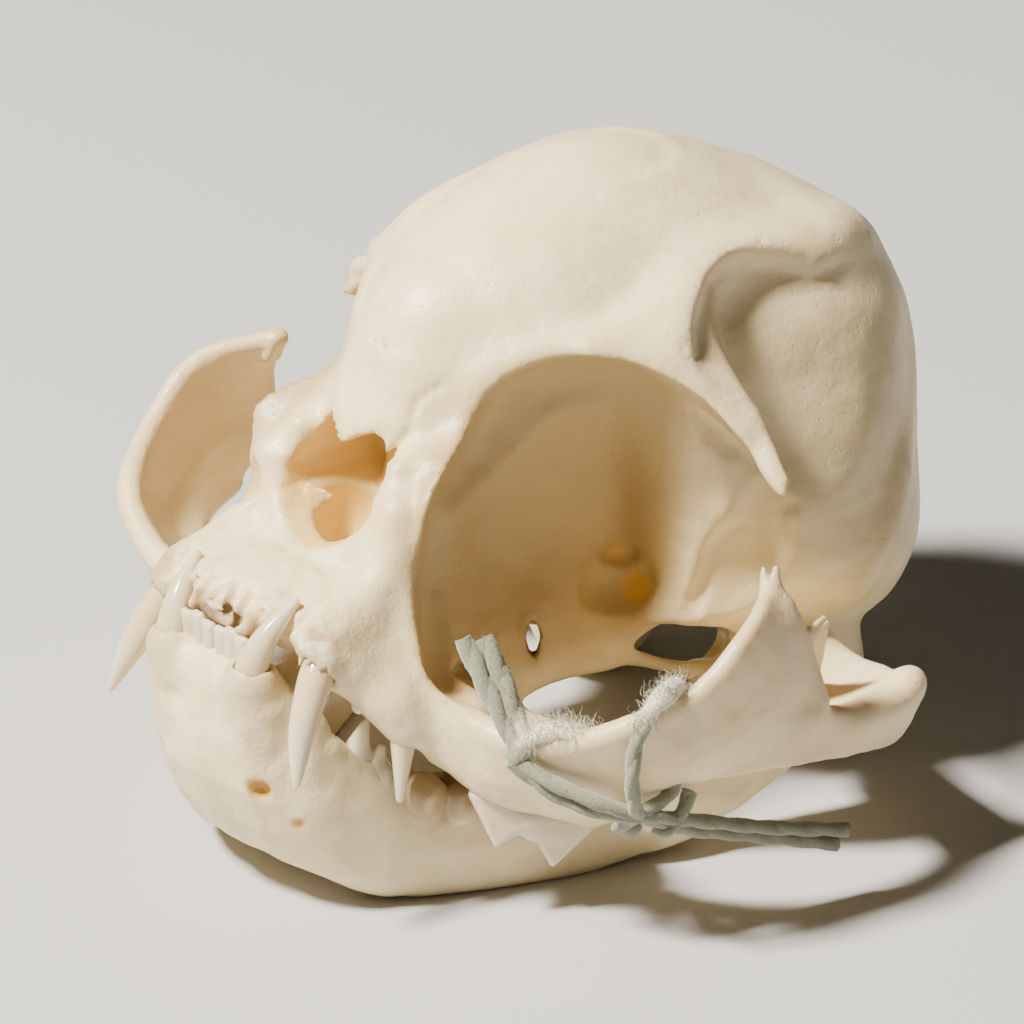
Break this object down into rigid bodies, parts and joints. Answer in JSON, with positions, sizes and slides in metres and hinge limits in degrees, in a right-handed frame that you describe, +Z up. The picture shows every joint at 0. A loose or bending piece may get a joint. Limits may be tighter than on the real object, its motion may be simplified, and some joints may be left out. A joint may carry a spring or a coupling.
{
  "type": "cat skull",
  "caption": "Life-size skull of a short-faced domestic cat with its lower jaw, lying at rest, with a knotted twine tie round the left cheek arch.",
  "frame": {"origin": "on the floor, under the middle of the object's box: its length and width are centred on it", "axes": "+Z up, the nose points along -Y, +X is the cat's left"},
  "size_m": [0.0721, 0.0743, 0.0558],
  "materials": {
    "bone": "dry cream bone, satin, with fine pores",
    "enamel": "translucent glossy tooth enamel",
    "twine": "fuzzy undyed cotton twine"
  },
  "bodies": {
    "root": {"braincase": "bone", "face": "bone", "cheekbone_left": "bone", "cheekbone_right": "bone", "jaw_left": "bone", "jaw_right": "bone", "canine_upper_left": "enamel", "canine_upper_right": "enamel", "canine_lower_left": "enamel", "canine_lower_right": "enamel", "twine_tie": "twine"}
  },
  "joints": []
}
